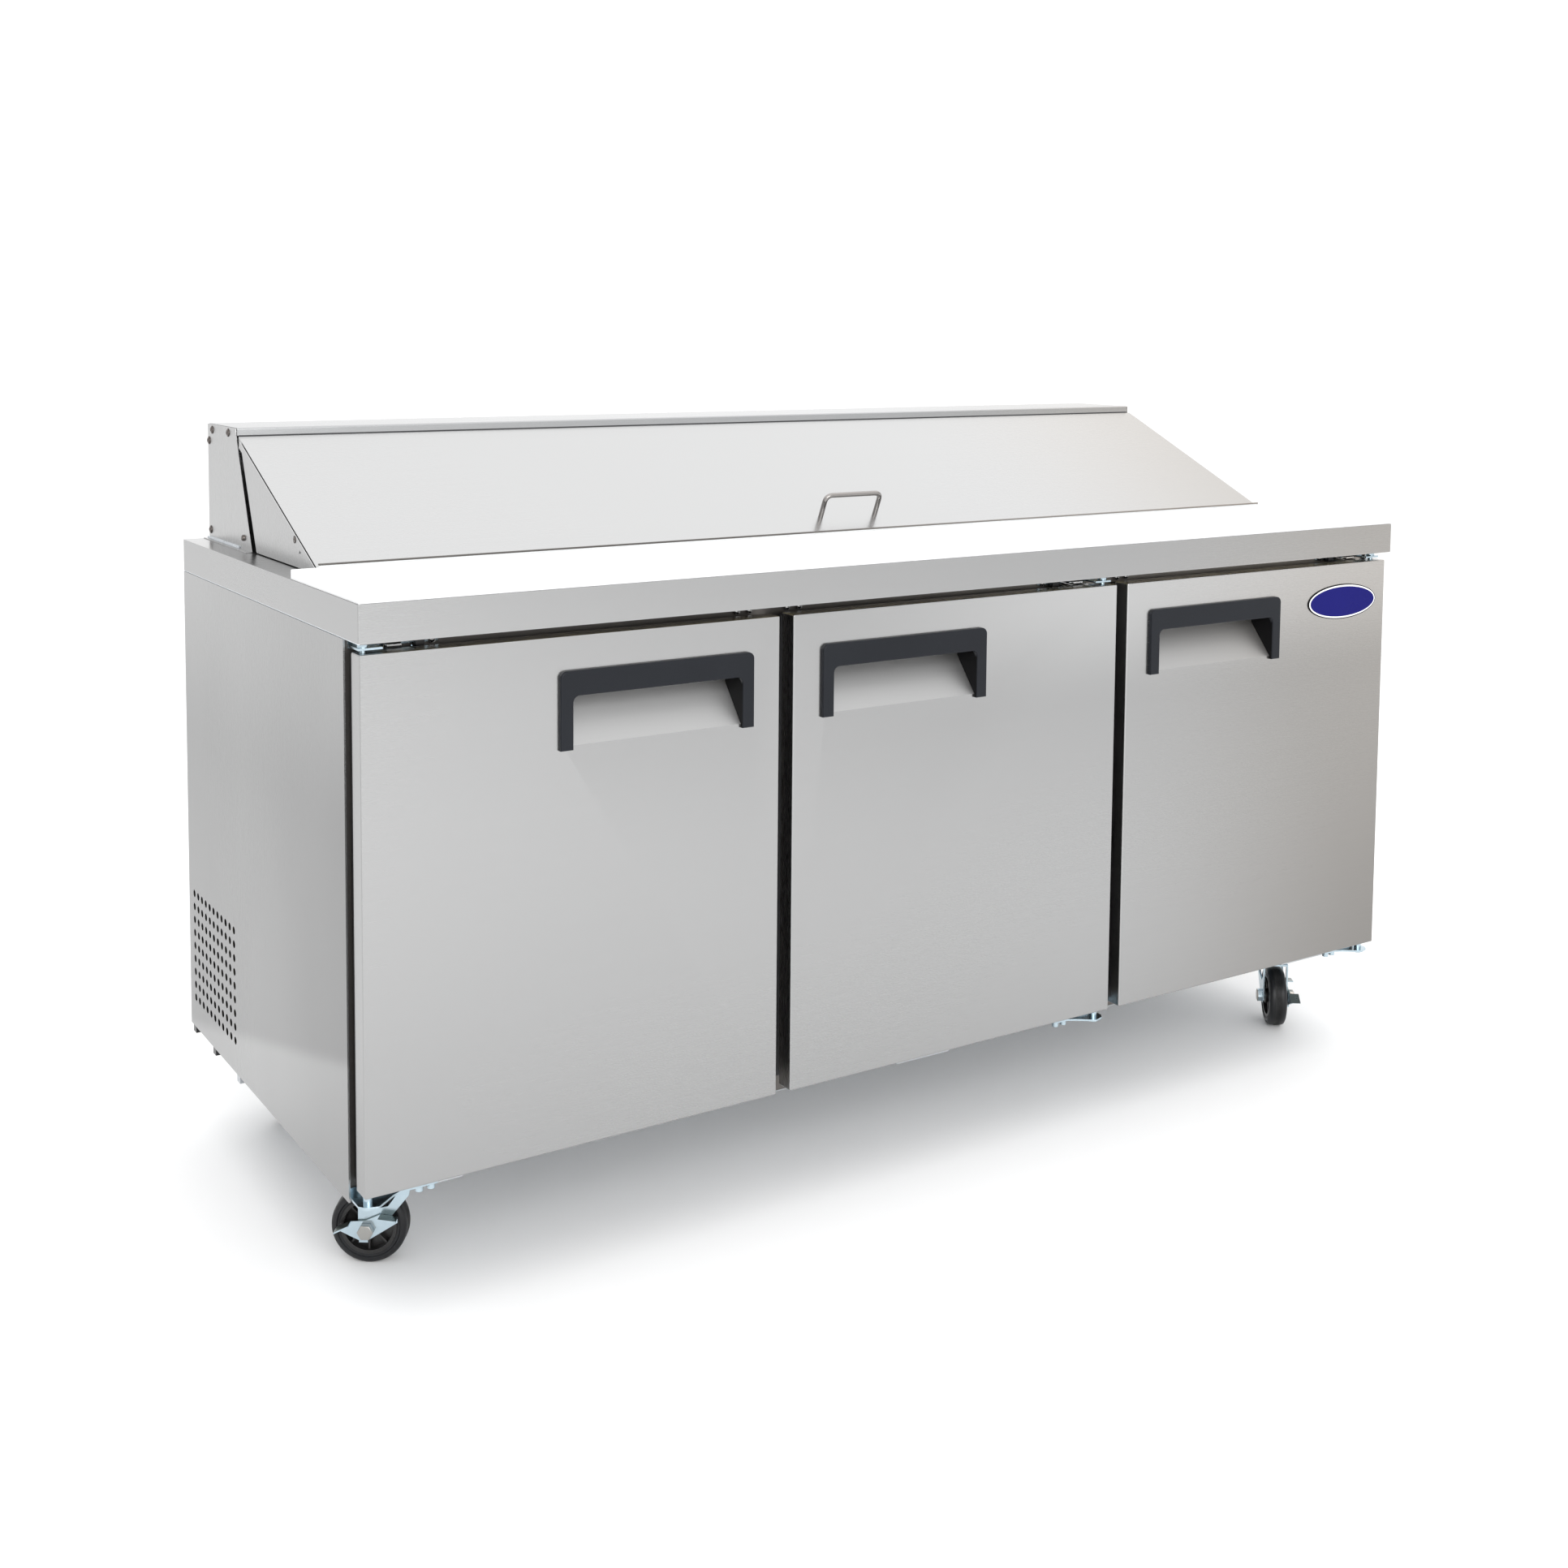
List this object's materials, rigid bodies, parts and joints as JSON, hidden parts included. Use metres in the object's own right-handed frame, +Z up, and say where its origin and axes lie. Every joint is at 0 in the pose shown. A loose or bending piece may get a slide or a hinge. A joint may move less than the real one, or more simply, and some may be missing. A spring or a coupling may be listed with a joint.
{
  "type": "sandwich prep table",
  "caption": "Refrigerated sandwich prep table: stainless cabinet with doors, flip-up lid over food pans, full-width cutting board, and swivel casters.",
  "frame": {"origin": "on the floor, under the middle of the worktop's outline", "axes": "+Z up, doors face -Y, +X to the right seen from the front"},
  "size_m": [1.847, 0.762, 1.089],
  "materials": {
    "stainless": "satin",
    "inner_sheet": "satin",
    "galvanised": "satin",
    "zinc": "gloss",
    "board_white": "satin",
    "liner_plastic": "satin",
    "handle_plastic": "matte",
    "gasket_rubber": "matte",
    "foam": "matte",
    "badge_enamel": "gloss",
    "tyre_rubber": "matte",
    "hub_plastic": "satin",
    "black_metal": "satin",
    "fan_plastic": "satin",
    "shelf_wire": "gloss"
  },
  "bodies": {
    "cabinet": {"worktop": "stainless", "side_panel_left": "stainless", "side_panel_right": "stainless", "rear_panel": "galvanised", "base_frame": "galvanised", "face_frame": "stainless", "inner_liner": "inner_sheet", "cabinet_insulation": "foam", "wire_shelves": "shelf_wire", "shelf_supports": "galvanised", "food_pans": "stainless", "pan_bars": "stainless", "hood_shell": "stainless", "hood_ends": "stainless", "hood_liner": "stainless", "hinge_brackets": "zinc", "screws": "zinc", "condenser": "galvanised", "fan_shroud": "black_metal", "compressor": "black_metal", "evaporator": "inner_sheet", "controller": "fan_plastic", "cord_gland": "fan_plastic", "caster_plates": "zinc"},
    "lid": {"lid_shell": "stainless", "lid_liner": "liner_plastic", "lid_handle": "stainless"},
    "board": {"cutting_board": "board_white"},
    "door_left": {"door_skin_left": "stainless", "door_liner_left": "liner_plastic", "door_foam_left": "foam", "door_gasket_left": "gasket_rubber", "door_handle_left": "handle_plastic"},
    "door_middle": {"door_skin_middle": "stainless", "door_liner_middle": "liner_plastic", "door_foam_middle": "foam", "door_gasket_middle": "gasket_rubber", "door_handle_middle": "handle_plastic"},
    "door_right": {"door_skin_right": "stainless", "door_liner_right": "liner_plastic", "door_foam_right": "foam", "door_gasket_right": "gasket_rubber", "door_handle_right": "handle_plastic", "badge": "badge_enamel"},
    "fork_front_left": {"caster_fork_front_left": "zinc"},
    "wheel_front_left": {"caster_hub_front_left": "hub_plastic", "caster_tyre_front_left": "tyre_rubber"},
    "brake_front_left": {"caster_brake_front_left": "zinc"},
    "fork_front_right": {"caster_fork_front_right": "zinc"},
    "wheel_front_right": {"caster_hub_front_right": "hub_plastic", "caster_tyre_front_right": "tyre_rubber"},
    "brake_front_right": {"caster_brake_front_right": "zinc"},
    "fork_rear_left": {"caster_fork_rear_left": "zinc"},
    "wheel_rear_left": {"caster_hub_rear_left": "hub_plastic", "caster_tyre_rear_left": "tyre_rubber"},
    "fork_rear_right": {"caster_fork_rear_right": "zinc"},
    "wheel_rear_right": {"caster_hub_rear_right": "hub_plastic", "caster_tyre_rear_right": "tyre_rubber"},
    "condenser_fan": {"condenser_fan": "fan_plastic"},
    "evaporator_fan": {"evaporator_fan": "fan_plastic"}
  },
  "joints": [
    {"name": "lid_hinge", "type": "hinge", "parent": "cabinet", "child": "lid", "pos_m": [0, 0.223, 1.066], "axis": [-1, 0, 0], "range_deg": [0, 118]},
    {"name": "board_lift", "type": "slide", "parent": "cabinet", "child": "board", "axis": [0, 0, 1], "range_m": [0, 0.15]},
    {"name": "door_left_hinge", "type": "hinge", "parent": "cabinet", "child": "door_left", "pos_m": [-0.9071, -0.351, 0.5], "axis": [0, 0, -1], "range_deg": [0, 90]},
    {"name": "door_middle_hinge", "type": "hinge", "parent": "cabinet", "child": "door_middle", "pos_m": [0.287, -0.351, 0.5], "axis": [0, 0, 1], "range_deg": [0, 90]},
    {"name": "door_right_hinge", "type": "hinge", "parent": "cabinet", "child": "door_right", "pos_m": [0.9071, -0.351, 0.5], "axis": [0, 0, 1], "range_deg": [0, 90]},
    {"name": "swivel_front_left", "type": "hinge", "parent": "cabinet", "child": "fork_front_left", "pos_m": [-0.8165, -0.207, 0.12], "axis": [0, 0, 1], "continuous": true},
    {"name": "roll_front_left", "type": "hinge", "parent": "fork_front_left", "child": "wheel_front_left", "pos_m": [-0.8436, -0.18817, 0.0508], "axis": [0.5707, 0.8211, 0], "continuous": true},
    {"name": "brake_front_left_press", "type": "hinge", "parent": "fork_front_left", "child": "brake_front_left", "pos_m": [-0.8436, -0.18817, 0.0508], "axis": [0.5707, 0.8211, 0], "range_deg": [0, 20]},
    {"name": "swivel_front_right", "type": "hinge", "parent": "cabinet", "child": "fork_front_right", "pos_m": [0.8495, -0.207, 0.12], "axis": [0, 0, 1], "continuous": true},
    {"name": "roll_front_right", "type": "hinge", "parent": "fork_front_right", "child": "wheel_front_right", "pos_m": [0.82959, -0.23332, 0.0508], "axis": [-0.7976, 0.6032, 0], "continuous": true},
    {"name": "brake_front_right_press", "type": "hinge", "parent": "fork_front_right", "child": "brake_front_right", "pos_m": [0.82959, -0.23332, 0.0508], "axis": [-0.7976, 0.6032, 0], "range_deg": [0, 20]},
    {"name": "swivel_rear_left", "type": "hinge", "parent": "cabinet", "child": "fork_rear_left", "pos_m": [-0.8165, 0.291, 0.12], "axis": [0, 0, 1], "continuous": true},
    {"name": "roll_rear_left", "type": "hinge", "parent": "fork_rear_left", "child": "wheel_rear_left", "pos_m": [-0.78422, 0.29786, 0.0508], "axis": [0.2079, -0.9781, 0], "continuous": true},
    {"name": "swivel_rear_right", "type": "hinge", "parent": "cabinet", "child": "fork_rear_right", "pos_m": [0.8495, 0.291, 0.12], "axis": [0, 0, 1], "continuous": true},
    {"name": "roll_rear_right", "type": "hinge", "parent": "fork_rear_right", "child": "wheel_rear_right", "pos_m": [0.81849, 0.30229, 0.0508], "axis": [0.342, 0.9397, 0], "continuous": true},
    {"name": "condenser_fan_spin", "type": "hinge", "parent": "cabinet", "child": "condenser_fan", "pos_m": [-0.8335, 0.26, 0.2672], "axis": [1, 0, 0], "continuous": true},
    {"name": "evaporator_fan_spin", "type": "hinge", "parent": "cabinet", "child": "evaporator_fan", "pos_m": [0, 0.2418, 0.717], "axis": [0, 1, 0], "continuous": true}
  ]
}
